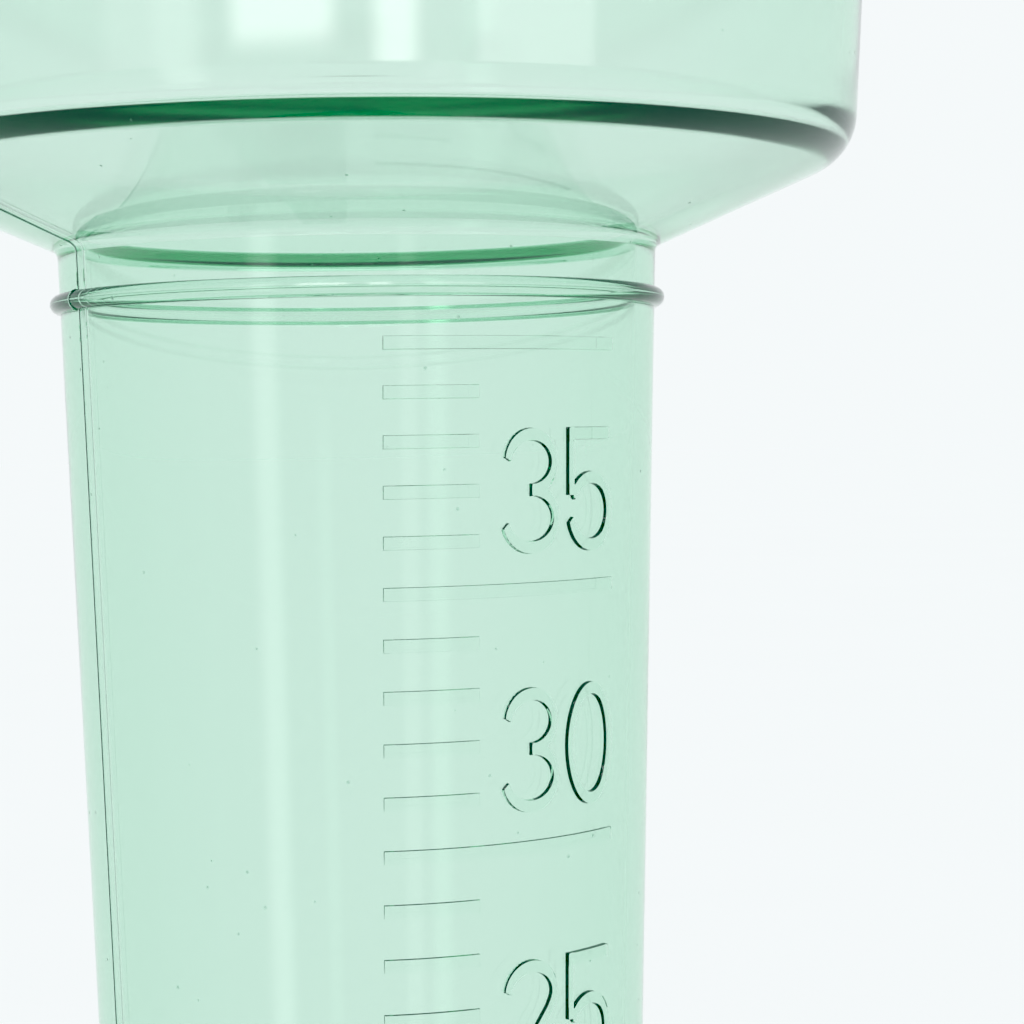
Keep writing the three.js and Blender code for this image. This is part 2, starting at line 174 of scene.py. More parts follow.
def make_camera():
    data = bpy.data.cameras.new("camera")
    data.lens = CAMERA_LENS
    data.sensor_width = 36.0
    data.clip_start = 0.01
    data.clip_end = 50.0
    camera = bpy.data.objects.new("camera", data)
    bpy.context.scene.collection.objects.link(camera)
    bpy.context.scene.camera = camera
    place = BEAD_CENTRE + azimuth_direction(CAMERA_AZIMUTH) * CAMERA_DISTANCE * MM
    place.z -= CAMERA_DROP * MM
    forward = -azimuth_direction(CAMERA_AZIMUTH - CAMERA_HEADING, -CAMERA_TILT)
    right = forward.cross(Vector((0, 0, 1))).normalized()
    up = right.cross(forward)
    turned_right = right * math.cos(CAMERA_ROLL) + up * math.sin(CAMERA_ROLL)
    turned_up = up * math.cos(CAMERA_ROLL) - right * math.sin(CAMERA_ROLL)
    axes = Matrix((turned_right, turned_up, -forward)).transposed().to_4x4()
    camera.matrix_world = Matrix.Translation(place) @ axes


make_camera()


# ---------------------------------------------------------------- profiles turned about the axis
def fillet_points(before, corner, after, radius, steps):
    """(point, tangent) pairs along a fillet."""
    back = (before - corner).normalized()
    on = (after - corner).normalized()
    half = back.angle(on) / 2
    centre = corner + (back + on).normalized() * (radius / math.sin(half))
    start = corner + back * (radius / math.tan(half)) - centre
    end = corner + on * (radius / math.tan(half)) - centre
    sweep = math.atan2(start.x * end.y - start.y * end.x, start.dot(end))
    made = []
    for step in range(steps + 1):
        angle = sweep * step / steps
        spoke = Vector((start.x * math.cos(angle) - start.y * math.sin(angle),
                        start.x * math.sin(angle) + start.y * math.cos(angle)))
        tangent = Vector((-spoke.y, spoke.x)).normalized() * math.copysign(1, sweep)
        made.append((centre + spoke, tangent))
    return made


def rounded_profile(corners, spacing):
    """Steps [(point, tangent in, tangent out)] along (radius, height, fillet) corners."""
    points = [Vector(corner[:2]) for corner in corners]
    made = [(points[0], None, (points[1] - points[0]).normalized())]

    def run_to(end):
        start = made[-1][0]
        way = end - start
        if way.length < TINY:
            return
        tangent = way.normalized()
        made[-1] = (start, made[-1][1], tangent)
        count = max(1, round(way.length / spacing))
        for step in range(1, count + 1):
            made.append((start + way * (step / count), tangent, tangent))

    for place in range(1, len(points) - 1):
        radius = corners[place][2]
        if radius == 0:
            run_to(points[place])
            continue
        steps = max(FEWEST_FILLET_STEPS, min(MOST_FILLET_STEPS, round(radius * FILLET_STEPS_PER_MM)))
        curve = fillet_points(points[place - 1], points[place], points[place + 1], radius, steps)
        run_to(curve[0][0])
        for point, tangent in curve[1:]:
            made.append((point, tangent, tangent))
    run_to(points[-1])
    return made


def normal_of(tangent):
    return Vector((tangent.y, -tangent.x))


class Shell:
    """A closed mesh in the making, with a normal for each face corner."""

    def __init__(self):
        self.points = []
        self.index = {}
        self.faces = []
        self.normals = []

    def vertex(self, point):
        key = tuple(round(value, POINT_DIGITS) for value in point)
        if key not in self.index:
            self.index[key] = len(self.points)
            self.points.append(tuple(point))
        return self.index[key]

    def face(self, points, normals):
        corners, kept = [], []
        for point, normal in zip(points, normals):
            corner = self.vertex(point)
            if corner not in corners:
                corners.append(corner)
                kept.append(normal)
        if len(corners) > 2:
            self.faces.append(corners)
            self.normals.append(kept)

    def turn(self, profile, columns):
        """A profile turned about the axis. A column is (azimuth, ridge height).

        At both ends a ridge stands straight out from the axis, so that the next section meets it.
        """
        rings = []
        for row, (point, before, after) in enumerate(profile):
            mean = normal_of(before or after) + normal_of(after or before)
            mean.normalize()
            if row in (0, len(profile) - 1):
                mean = Vector((1.0 if point.x > 0 else 0.0, 0.0))
            ring = []
            for azimuth, ridge in columns:
                radius = max(point.x + ridge * mean.x, 0.0)
                height = point.y + ridge * mean.y
                ring.append((radius * math.sin(azimuth), -radius * math.cos(azimuth), height))
            rings.append(ring)
        for row in range(len(profile) - 1):
            ends = (normal_of(profile[row][2]), normal_of(profile[row + 1][1]))
            for column, (azimuth, ridge) in enumerate(columns):
                following = (column + 1) % len(columns)
                next_azimuth, next_ridge = columns[following]
                points = (rings[row][column], rings[row][following],
                          rings[row + 1][following], rings[row + 1][column])
                azimuths = (azimuth, next_azimuth, next_azimuth, azimuth)
                if ridge or next_ridge:
                    normals = [flat_normal(points)] * 4
                else:
                    normals = [
                        (normal.x * math.sin(turn), -normal.x * math.cos(turn), normal.y)
                        for normal, turn in zip((ends[0], ends[0], ends[1], ends[1]), azimuths)
                    ]
                self.face(points, normals)

    def to_object(self, name, place):
        mesh = bpy.data.meshes.new(name)
        mesh.from_pydata(self.points, [], self.faces)
        mesh.transform(Matrix.Translation(place) @ Matrix.Scale(MM, 4))
        mesh.polygons.foreach_set("use_smooth", [True] * len(self.faces))
        mesh.normals_split_custom_set([normal for face in self.normals for normal in face])
        mesh.update()
        made = bpy.data.objects.new(name, mesh)
        bpy.context.scene.collection.objects.link(made)
        return made


def flat_normal(points):
    corners = [Vector(point) for point in points]
    normal = (corners[2] - corners[0]).cross(corners[-1] - corners[1])
    return tuple(normal.normalized())


def plain_columns():
    return [(2 * math.pi * step / TURN_STEPS - math.pi, 0.0) for step in range(TURN_STEPS)]


def seamed_columns():
    """Columns all round, with a ridge on both sides where the mould's halves met."""
    half = SEAM_WIDTH / 2 / TUBE_RADIUS
    seams = {SEAM_AZIMUTH: SEAM_HEIGHTS[0], SEAM_AZIMUTH + math.pi: SEAM_HEIGHTS[1]}
    columns = []
    for azimuth, _ in plain_columns():
        if all(abs(azimuth - seam) > 2 * half for seam in seams):
            columns.append((azimuth, 0.0))
    for seam, ridge in seams.items():
        columns += [(seam - half, 0.0), (seam, ridge), (seam + half, 0.0)]
    return sorted(columns)


# ---------------------------------------------------------------- raised bars and numerals
def level_height(depth):
    """Height of the water when that many millimetres of rain have fallen."""
    floor_radius = tube_radius(FLOOR_HEIGHT) - WALL
    cubed = floor_radius ** 3 + 3 * TAPER * CATCH_AREA * depth / math.pi
    return FLOOR_HEIGHT + (cubed ** (1 / 3) - floor_radius) / TAPER


class Bar:
    """A level bar of relief, from left to right along the surface."""
    relief = BAR_RELIEF
    flank = BAR_FLANK

    def __init__(self, left, right, middle):
        self.low = np.array((left, middle - BAR_THICKNESS / 2))
        self.high = np.array((right, middle + BAR_THICKNESS / 2))

    def distance(self, places):
        centre = (self.low + self.high) / 2
        beyond = np.abs(places - centre) - (self.high - self.low) / 2
        return beyond.max(axis=1)

    def contours(self, spread):
        low, high = self.low - spread, self.high + spread
        count = max(2, round((high[0] - low[0]) / BAR_STEP))
        along = np.linspace(low[0], high[0], count + 1)
        bottom = [(place, low[1]) for place in along]
        top = [(place, high[1]) for place in along[::-1]]
        return [bottom + top]


class Stroke:
    """A pen stroke of relief along a line of places, thinner where it stands upright."""

    def __init__(self, places, closed):
        self.centres = np.array(places) / (SQUEEZE, 1.0)
        self.closed = closed
        line = self.centres
        if closed:
            ways = np.roll(line, -1, axis=0) - np.roll(line, 1, axis=0)
        else:
            ways = np.gradient(line, axis=0)
        self.ways = ways / np.linalg.norm(ways, axis=1)[:, None]

    def distance(self, places):
        spots = places / (SQUEEZE, 1.0)
        starts = self.centres
        ends = np.roll(starts, -1, axis=0)
        if not self.closed:
            starts, ends = starts[:-1], ends[:-1]
        nearest = np.full(len(spots), np.inf)
        for start, end in zip(starts, ends):
            way = end - start
            share = np.clip((spots - start) @ way / (way @ way), 0, 1)
            away = np.linalg.norm(spots - start - share[:, None] * way, axis=1)
            nearest = np.minimum(nearest, away)
        if not self.closed:
            for end, way in ((self.centres[0], -self.ways[0]), (self.centres[-1], self.ways[-1])):
                past = (spots - end) @ way
                square = np.maximum(np.abs((spots - end) @ (-way[1], way[0])), past + STROKE / 2)
                beyond = (past > 0) & (np.linalg.norm(spots - end, axis=1) < STROKE)
                nearest = np.where(beyond, np.maximum(nearest, square), nearest)
        return nearest - STROKE / 2


def bow(centre, reach, start, end, steps=26):
    """Places along part of an ellipse, angles in degrees from +X."""
    angles = np.radians(np.linspace(start, end, steps))
    return [(centre[0] + reach[0] * math.cos(a), centre[1] + reach[1] * math.sin(a)) for a in angles]


def straight(start, end, steps=8):
    return [tuple(place) for place in np.linspace(start, end, steps)]


def digit_lines(digit):
    """The pen lines of 0, 1, 2, 3 or 5, about 5 wide and 8.96 tall, as (places, closed)."""
    top = DIGIT_HEIGHT - PEN
    if digit == 0:
        return [(bow((2.55, DIGIT_HEIGHT / 2), (2.27, top - DIGIT_HEIGHT / 2), 0, 352.5, 48), True)]
    if digit == 1:
        return [(straight((2.9, 0), (2.9, DIGIT_HEIGHT)), False),
                (straight((1.2, 7.0), (2.8, top)), False)]
    if digit == 2:
        curve = bow((2.35, 6.55), (2.05, top - 6.55), 172, -32) + straight((3.95, 5.2), (0.4, PEN), 12)
        return [(curve, False), (straight((0.15, PEN), (4.7, PEN)), False)]
    if digit == 3:
        return [(bow((2.33, 6.54), (2.0, top - 6.54), 172, -90), False),
                (bow((2.33, 2.5), (2.2, 2.5 - PEN), 90, -166), False)]
    return [(straight((0.36, 4.15), (0.36, DIGIT_HEIGHT)), False),
            (straight((0.36 - PEN_UPRIGHT, top), (4.66, top)), False),
            (bow((2.5, 2.88), (2.2, 2.88 - PEN), 152, -166), False)]


class Glyph:
    """One raised digit: its pen strokes run together, outlined where their common distance is level."""
    relief = NUMERAL_RELIEF
    flank = NUMERAL_FLANK
    outlines = {}

    def __init__(self, digit, corner):
        self.digit = digit
        self.corner = corner
        self.strokes = [Stroke(np.array(places), closed) for places, closed in digit_lines(digit)]

    def distance(self, places):
        return np.min([stroke.distance(places - self.corner) for stroke in self.strokes], axis=0)

    def contours(self, spread):
        key = (self.digit, spread)
        if key not in self.outlines:
            self.outlines[key] = level_rings(lambda places: self.distance(places + self.corner),
                                             *GLYPH_BOX, spread)
        return [ring + self.corner for ring in self.outlines[key]]


def level_rings(distance, low, high, level):
    """Closed rings of places where a distance field has a level, on a grid of triangles."""
    xs = np.arange(low[0], high[0], GLYPH_GRID)
    ys = np.arange(low[1], high[1], GLYPH_GRID)
    places = np.stack(np.meshgrid(xs, ys, indexing="ij"), axis=-1).reshape(-1, 2)
    beyond = distance(places) - level
    inside = beyond < 0
    rows = len(ys)
    signs = inside.reshape(len(xs), rows).astype(int)
    sums = signs[:-1, :-1] + signs[1:, :-1] + signs[:-1, 1:] + signs[1:, 1:]
    links = {}
    for column, row in np.argwhere((sums > 0) & (sums < 4)):
        a = int(column) * rows + int(row)
        b, c, d = a + rows, a + rows + 1, a + 1
        for triangle in ((a, b, c), (a, c, d)):
            crossed = [(min(p, q), max(p, q)) for p, q in zip(triangle, triangle[1:] + triangle[:1])
                       if inside[p] != inside[q]]
            if crossed:
                links.setdefault(crossed[0], []).append(crossed[1])
                links.setdefault(crossed[1], []).append(crossed[0])
    rings = []
    while links:
        start = next(iter(links))
        ring, here = [], start
        while here in links:
            ring.append(here)
            here = next((link for link in links.pop(here) if link in links), None)
        first, second = np.array(ring).T
        share = (beyond[first] / (beyond[first] - beyond[second]))[:, None]
        points = places[first] * (1 - share) + places[second] * share
        kept = [points[0]]
        for point in points[1:]:
            if np.linalg.norm(point - kept[-1]) > SHORTEST_EDGE:
                kept.append(point)
        rings.append(np.array(kept))
    return rings


def scale_reliefs():
    """Every bar and numeral, placed along the surface and in height."""
    made = []
    for depth in range(1, SCALE_DEPTH + 1):
        middle = level_height(depth) - BAR_DROP
        long_bar = depth % LONG_EVERY == 0
        made.append(Bar(-BAR_HALF_LONG, BAR_HALF_LONG if long_bar else BAR_SHORT_END, middle))
        if not long_bar or depth == SCALE_DEPTH:
            continue
        digits = [int(digit) for digit in str(depth)]
        for digit, place in zip(digits, DIGIT_PLACES[-len(digits):]):
            made.append(Glyph(digit, np.array((place, middle + NUMERAL_RISE))))
    return made


def relief_field(places, reliefs):
    """Height of the relief at each place, distance to the nearest relief and that relief's slope."""
    nearest = np.full(len(places), np.inf)
    heights = np.zeros(len(places))
    slopes = np.zeros(len(places))
    for relief in reliefs:
        low, high = relief_reach(relief)
        close = np.flatnonzero(((places > low) & (places < high)).all(axis=1))
        if not len(close):
            continue
        distance = relief.distance(places[close])
        level = relief.relief * np.clip((relief.flank - distance) / relief.flank, 0, 1)
        heights[close] = np.maximum(heights[close], level)
        nearer = distance < nearest[close]
        nearest[close[nearer]] = distance[nearer]
        slopes[close[nearer]] = relief.relief / relief.flank
    return heights, nearest, slopes


def relief_tilts(places, reliefs):
    """How the surface tilts beside a relief: slope times the direction away from it."""
    ways = []
    for axis in (0, 1):
        shift = np.zeros(2)
        shift[axis] = TILT_STEP
        ahead = relief_field(places + shift, reliefs)[1]
        behind = relief_field(places - shift, reliefs)[1]
        with np.errstate(invalid="ignore"):
            ways.append(np.nan_to_num((ahead - behind) / (2 * TILT_STEP), posinf=0, neginf=0))
    away = np.stack(ways, axis=1)
    away /= np.maximum(np.linalg.norm(away, axis=1), TINY)[:, None]
    return away * relief_field(places, reliefs)[2][:, None]


def relief_reach(relief):
    """The box round a relief within which it matters to its surroundings."""
    outline = np.concatenate([np.array(contour) for contour in relief.contours(relief.flank)])
    return outline.min(axis=0) - RELIEF_MARGIN, outline.max(axis=0) + RELIEF_MARGIN


def grid_places(rows, columns, reliefs):
    """Places on the unrolled surface clear of the scale, their ridges, and the edges to keep."""
    wrap = columns + [(columns[0][0] + 2 * math.pi, columns[0][1])]
    grid = np.array([(azimuth, row) for azimuth, _ in wrap for row in rows])
    along = np.stack((grid[:, 0] * tube_radius(grid[:, 1]), grid[:, 1]), axis=1)
    nearest = relief_field(along, reliefs)[1]
    border = (grid[:, 1] == rows[0]) | (grid[:, 1] == rows[-1])
    kept = border | (nearest > KEEP_CLEAR)
    number = np.full(len(grid), -1)
    number[kept] = np.arange(kept.sum())
    count = len(rows)
    edges = []
    for column in range(len(wrap)):
        first = column * count
        if column + 1 < len(wrap):
            edges += [(number[first], number[first + count]),
                      (number[first + count - 1], number[first + 2 * count - 1])]
        beside_seam = any(wrap[other][1] for other in (column - 1, column, (column + 1) % len(wrap)))
        if column in (0, len(wrap) - 1) or beside_seam:
            edges += [(number[first + row], number[first + row + 1]) for row in range(count - 1)]
    places = [tuple(place) for place in grid[kept]]
    ridges = [wrap[spot // count][1] for spot in np.flatnonzero(kept)]
    return places, ridges, edges


def add_outlines(reliefs, places, rises, edges):
    """Every relief's outline twice: round its level top, and round its foot on the surface."""
    for relief in reliefs:
        for spread, rise in ((0.0, relief.relief), (relief.flank, 0.0)):
            for contour in relief.contours(spread):
                start = len(places)
                for along, height in contour:
                    places.append((along / tube_radius(height), height))
                    rises.append(rise)
                ring = list(range(start, len(places)))
                edges.extend(zip(ring, ring[1:] + ring[:1]))


def triangulated(places, rises, edges):
    """Azimuths, heights and rises of a triangulation's points, its faces, and which points are new."""
    flat = [Vector((azimuth * TUBE_RADIUS, height)) for azimuth, height in places]
    links = [(int(a), int(b)) for a, b in edges]
    points, _, faces, origins = delaunay_2d_cdt(flat, links, [], 0, MERGE_DISTANCE)[:4]
    azimuths = np.array([point.x / TUBE_RADIUS for point in points])
    heights = np.array([point.y for point in points])
    proud = np.zeros(len(points))
    for spot, origin in enumerate(origins):
        if origin:
            azimuths[spot], heights[spot] = places[origin[0]]
            proud[spot] = max(rises[one] for one in origin)
    return azimuths, heights, proud, faces, np.array([not origin for origin in origins])


def surface_normals(azimuths, tilts):
    """Normals of the plain tapered surface, and of the flanks that are tilted against it."""
    lean = math.atan(TAPER)
    outward = np.stack((np.sin(azimuths) * math.cos(lean), -np.cos(azimuths) * math.cos(lean),
                        np.full(len(azimuths), -math.sin(lean))), axis=1)
    across = np.stack((np.cos(azimuths), np.sin(azimuths), np.zeros(len(azimuths))), axis=1)
    upward = np.cross(outward, across)
    flanks = outward + across * tilts[:, :1] + upward * tilts[:, 1:]
    return outward, flanks / np.linalg.norm(flanks, axis=1)[:, None]


def graduated_surface(shell, bottom, top, columns):
    """The tube's outer surface between two heights, with the scale raised on it."""
    reliefs = scale_reliefs()
    places, rises, edges = grid_places(np.linspace(bottom, top, SCALE_ROWS), columns, reliefs)
    add_outlines(reliefs, places, rises, edges)
    azimuths, heights, proud, faces, new = triangulated(places, rises, edges)
    along = np.stack((azimuths * tube_radius(heights), heights), axis=1)
    levels, nearest, _ = relief_field(along, reliefs)
    proud[new] = levels[new]
    radii = tube_radius(heights) + proud
    xyz = np.stack((radii * np.sin(azimuths), -radii * np.cos(azimuths), heights), axis=1)
    outward, flanks = surface_normals(azimuths, relief_tilts(along, reliefs))
    for face in faces:
        corners = [tuple(xyz[corner]) for corner in face]
        if np.ptp(proud[face]) < TINY:
            normals = [tuple(outward[corner]) for corner in face]
        elif nearest[face].max() < 2 * NUMERAL_FLANK:
            normals = [tuple(flanks[corner]) for corner in face]
        else:
            normals = [flat_normal(corners)] * len(face)
        shell.face(corners, normals)


# ---------------------------------------------------------------- the vessel
def bead_profile():
    """The half round bead as steps of a profile."""
    made = []
    for step in range(BEAD_STEPS + 1):
        angle = math.pi * (step / BEAD_STEPS - 0.5)
        height = BEAD_HALF_HEIGHT * math.sin(angle)
        point = Vector((tube_radius(height) + BEAD_PROUD * math.cos(angle), height))
        tangent = Vector((-BEAD_PROUD * math.sin(angle), BEAD_HALF_HEIGHT * math.cos(angle))).normalized()
        made.append((point, tangent, tangent))
    return made


def vessel_mesh():
    """Foot, graduated tube, bead, shoulder and collector outside, then the whole inside, in one skin."""
    foot_radius = tube_radius(FOOT)
    ring_inner = foot_radius - FOOT_RING
    foot = [
        (0, FOOT + FOOT_RECESS, 0),
        (ring_inner - FOOT_RECESS_SLOPE, FOOT + FOOT_RECESS, FOOT_RECESS_FILLET),
        (ring_inner, FOOT, FOOT_RING_FILLET),
        (foot_radius, FOOT, FOOT_FILLET),
        (tube_radius(SCALE_BOTTOM), SCALE_BOTTOM, 0),
    ]
    below = [
        (tube_radius(SCALE_TOP), SCALE_TOP, 0),
        (tube_radius(-BEAD_HALF_HEIGHT), -BEAD_HALF_HEIGHT, 0),
    ]
    upper = [
        (tube_radius(BEAD_HALF_HEIGHT), BEAD_HALF_HEIGHT, 0),
        (tube_radius(NECK_TOP), NECK_TOP, NECK_FILLET),
        (CORNER_RADIUS, CORNER_HEIGHT, CORNER_FILLET),
        (collector_radius(RIM), RIM, RIM_FILLET),
        (collector_radius(RIM) - WALL, RIM, RIM_FILLET),
        (INNER_CORNER_RADIUS, INNER_CORNER_HEIGHT, INNER_CORNER_FILLET),
        (tube_radius(NECK_INNER_TOP) - WALL, NECK_INNER_TOP, NECK_INNER_FILLET),
        (tube_radius(FLOOR_HEIGHT) - WALL, FLOOR_HEIGHT, FLOOR_FILLET),
        (0, FLOOR_HEIGHT, 0),
    ]
    shell = Shell()
    seamed = seamed_columns()
    shell.turn(rounded_profile(foot, PROFILE_STEP), seamed)
    graduated_surface(shell, SCALE_BOTTOM, SCALE_TOP, seamed)
    shell.turn(rounded_profile(below, PROFILE_STEP), seamed)
    shell.turn(bead_profile(), seamed)
    shell.turn(rounded_profile(upper, PROFILE_STEP), seamed)
    return shell.to_object("graduated_vessel", BEAD_CENTRE)


# ---------------------------------------------------------------- funnel, mouldings and fasteners
FUNNEL_WALL = 1.4
FUNNEL_TOP = 48.0
FUNNEL_SKIRT = 40.0
THROAT_TOP = 30.0
THROAT_BOTTOM = 25.5
THROAT_RADIUS = 5.2
FIT_GAP = 0.3


def funnel_mesh():
    """The evaporation funnel, wedged in the collector's draft below the rim."""
    throat = THROAT_RADIUS + FUNNEL_WALL
    skirt = collector_radius(FUNNEL_SKIRT) - WALL - FIT_GAP
    top = collector_radius(FUNNEL_TOP) - WALL - FIT_GAP
    profile = [
        (THROAT_RADIUS, THROAT_BOTTOM, 0),
        (throat, THROAT_BOTTOM, 0.5),
        (throat, THROAT_TOP - FUNNEL_WALL, 1.6),
        (skirt, FUNNEL_SKIRT - FUNNEL_WALL + 0.2, 1.6),
        (top, FUNNEL_TOP, 0.5),
        (top - FUNNEL_WALL, FUNNEL_TOP, 0.5),
        (skirt - FUNNEL_WALL, FUNNEL_SKIRT + 0.9, 1.0),
        (THROAT_RADIUS, THROAT_TOP, 1.2),
        (THROAT_RADIUS, THROAT_BOTTOM, 0),
    ]
    shell = Shell()
    shell.turn(rounded_profile(profile, FUNNEL_STEP), plain_columns())
    return shell.to_object("evaporation_funnel_moulding", BEAD_CENTRE)


def moulded_copy(node, name, voxel, rounds):
    """A node's solid with the soft edges of a moulding, made of even small faces."""
    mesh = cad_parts[node].data.copy()
    made = bpy.data.objects.new(name, mesh)
    bpy.context.scene.collection.objects.link(made)
    remesh = made.modifiers.new("even", "REMESH")
    remesh.mode = "VOXEL"
    remesh.voxel_size = voxel * MM
    soften = made.modifiers.new("soften", "SMOOTH")
    soften.factor = 0.5
    soften.iterations = rounds
    graph = bpy.context.evaluated_depsgraph_get()
    finished = bpy.data.meshes.new_from_object(made.evaluated_get(graph))
    made.modifiers.clear()
    made.data = finished
    finished.materials.clear()
    finished.polygons.foreach_set("use_smooth", [True] * len(finished.polygons))
    finished.update()
    return made


SCREW_LENGTH = 28.0
SCREW_HEAD = 4.0
SCREW_SHANK = 1.7
SCREW_NECK = SCREW_SHANK * 0.86
SCREW_CORE = 1.12
SCREW_SIDES = 56
HEAD_EDGE = 0.3
HEAD_ROUNDING = 0.12
HEAD_STEP = 0.1
THREAD_PITCH = 1.7
THREAD_START = 4.6
THREAD_RUN_IN = 1.2
THREAD_TAPER = 6.0
THREAD_STEP = 0.085
CREST_HALF_WIDTH = 0.24
WELD_DISTANCE = 0.004
SHARP_ANGLE = math.radians(38)
RECESS_SPAN = 4.4
RECESS_WIDTH = 1.0
RECESS_DEPTH = 1.8
# The cutter's two ends: (distance from the head's face, share of the span, share of the width).
RECESS_ENDS = ((-1.0, 1.25, 1.0), (RECESS_DEPTH, 0.42, 0.75))


def screw_radius(along, turn):
    """Radius of a countersunk wood screw at a distance from its face and at an angle round it."""
    if along < HEAD_EDGE:
        return SCREW_HEAD - HEAD_ROUNDING * (1 - along / HEAD_EDGE) ** 2
    if along < HEAD_EDGE + (SCREW_HEAD - SCREW_NECK):
        return SCREW_HEAD - (along - HEAD_EDGE)
    if along < THREAD_START:
        return SCREW_NECK
    point = min(1.0, max(SCREW_LENGTH - along, 0.0) / THREAD_TAPER)
    core = SCREW_CORE * point
    phase = (along / THREAD_PITCH - turn / (2 * math.pi)) % 1.0
    crest = max(0.0, 1 - abs(phase - 0.5) / CREST_HALF_WIDTH)
    grown = min(1.0, (along - THREAD_START) / THREAD_RUN_IN)
    base = core + (SCREW_NECK - core) * (1 - grown)
    return base + (SCREW_SHANK - SCREW_CORE) * crest * grown * point ** 0.6


def screw_body(name):
    """The closed outer shape of a screw along Y, with a rolled thread and a plain head."""
    stations = list(np.arange(0.0, THREAD_START, HEAD_STEP))
    stations += list(np.arange(THREAD_START, SCREW_LENGTH, THREAD_STEP))
    points, faces = [], []
    for along in stations:
        for step in range(SCREW_SIDES):
            turn = 2 * math.pi * step / SCREW_SIDES
            radius = screw_radius(along, turn)
            points.append((radius * math.cos(turn), along, radius * math.sin(turn)))
    for row in range(len(stations) - 1):
        first = row * SCREW_SIDES
        for step in range(SCREW_SIDES):
            after = (step + 1) % SCREW_SIDES
            faces.append((first + step, first + after,
                          first + SCREW_SIDES + after, first + SCREW_SIDES + step))
    points += [(0, 0, 0), (0, SCREW_LENGTH, 0)]
    last = (len(stations) - 1) * SCREW_SIDES
    for step in range(SCREW_SIDES):
        after = (step + 1) % SCREW_SIDES
        faces.append((len(points) - 2, after, step))
        faces.append((len(points) - 1, last + step, last + after))
    mesh = bpy.data.meshes.new(name)
    mesh.from_pydata(points, [], faces)
    screw = bpy.data.objects.new(name, mesh)
    bpy.context.scene.collection.objects.link(screw)
    return screw


def weld(mesh):
    """Joins the points that all but coincide at the screw's tip and along the recess."""
    welded = bmesh.new()
    welded.from_mesh(mesh)
    bmesh.ops.remove_doubles(welded, verts=welded.verts, dist=WELD_DISTANCE)
    bmesh.ops.dissolve_degenerate(welded, edges=welded.edges, dist=WELD_DISTANCE / 2)
    welded.to_mesh(mesh)
    welded.free()


def screw_mesh(name, face_centre):
    """A screw along Y with a cross recess, the middle of its head's face at a place in the frame."""
    screw = screw_body(name)
    cutter = cross_cutter()
    cut = screw.modifiers.new("recess", "BOOLEAN")
    cut.operation = "DIFFERENCE"
    cut.object = cutter
    cut.solver = "EXACT"
    graph = bpy.context.evaluated_depsgraph_get()
    finished = bpy.data.meshes.new_from_object(screw.evaluated_get(graph))
    screw.modifiers.clear()
    screw.data = finished
    bpy.data.objects.remove(cutter)
    weld(finished)
    finished.transform(Matrix.Translation(face_centre) @ Matrix.Scale(MM, 4))
    finished.polygons.foreach_set("use_smooth", [True] * len(finished.polygons))
    finished.set_sharp_from_angle(angle=SHARP_ANGLE)
    finished.update()
    return screw


def cross_cutter():
    """A tapered cross that narrows into the head."""
    points, faces = [], []
    for depth, span_share, width_share in RECESS_ENDS:
        arm = RECESS_SPAN / 2 * span_share
        side = RECESS_WIDTH / 2 * width_share
        outline = [(arm, side), (side, side), (side, arm), (-side, arm), (-side, side), (-arm, side),
                   (-arm, -side), (-side, -side), (-side, -arm), (side, -arm), (side, -side), (arm, -side)]
        points += [(x, depth, z) for x, z in outline]
    count = len(points) // 2
    for step in range(count):
        after = (step + 1) % count
        faces.append((step, after, count + after, count + step))
    faces.append(tuple(range(count))[::-1])
    faces.append(tuple(range(count, 2 * count)))
    mesh = bpy.data.meshes.new("cross")
    mesh.from_pydata(points, [], faces)
    cutter = bpy.data.objects.new("cross", mesh)
    bpy.context.scene.collection.objects.link(cutter)
    return cutter


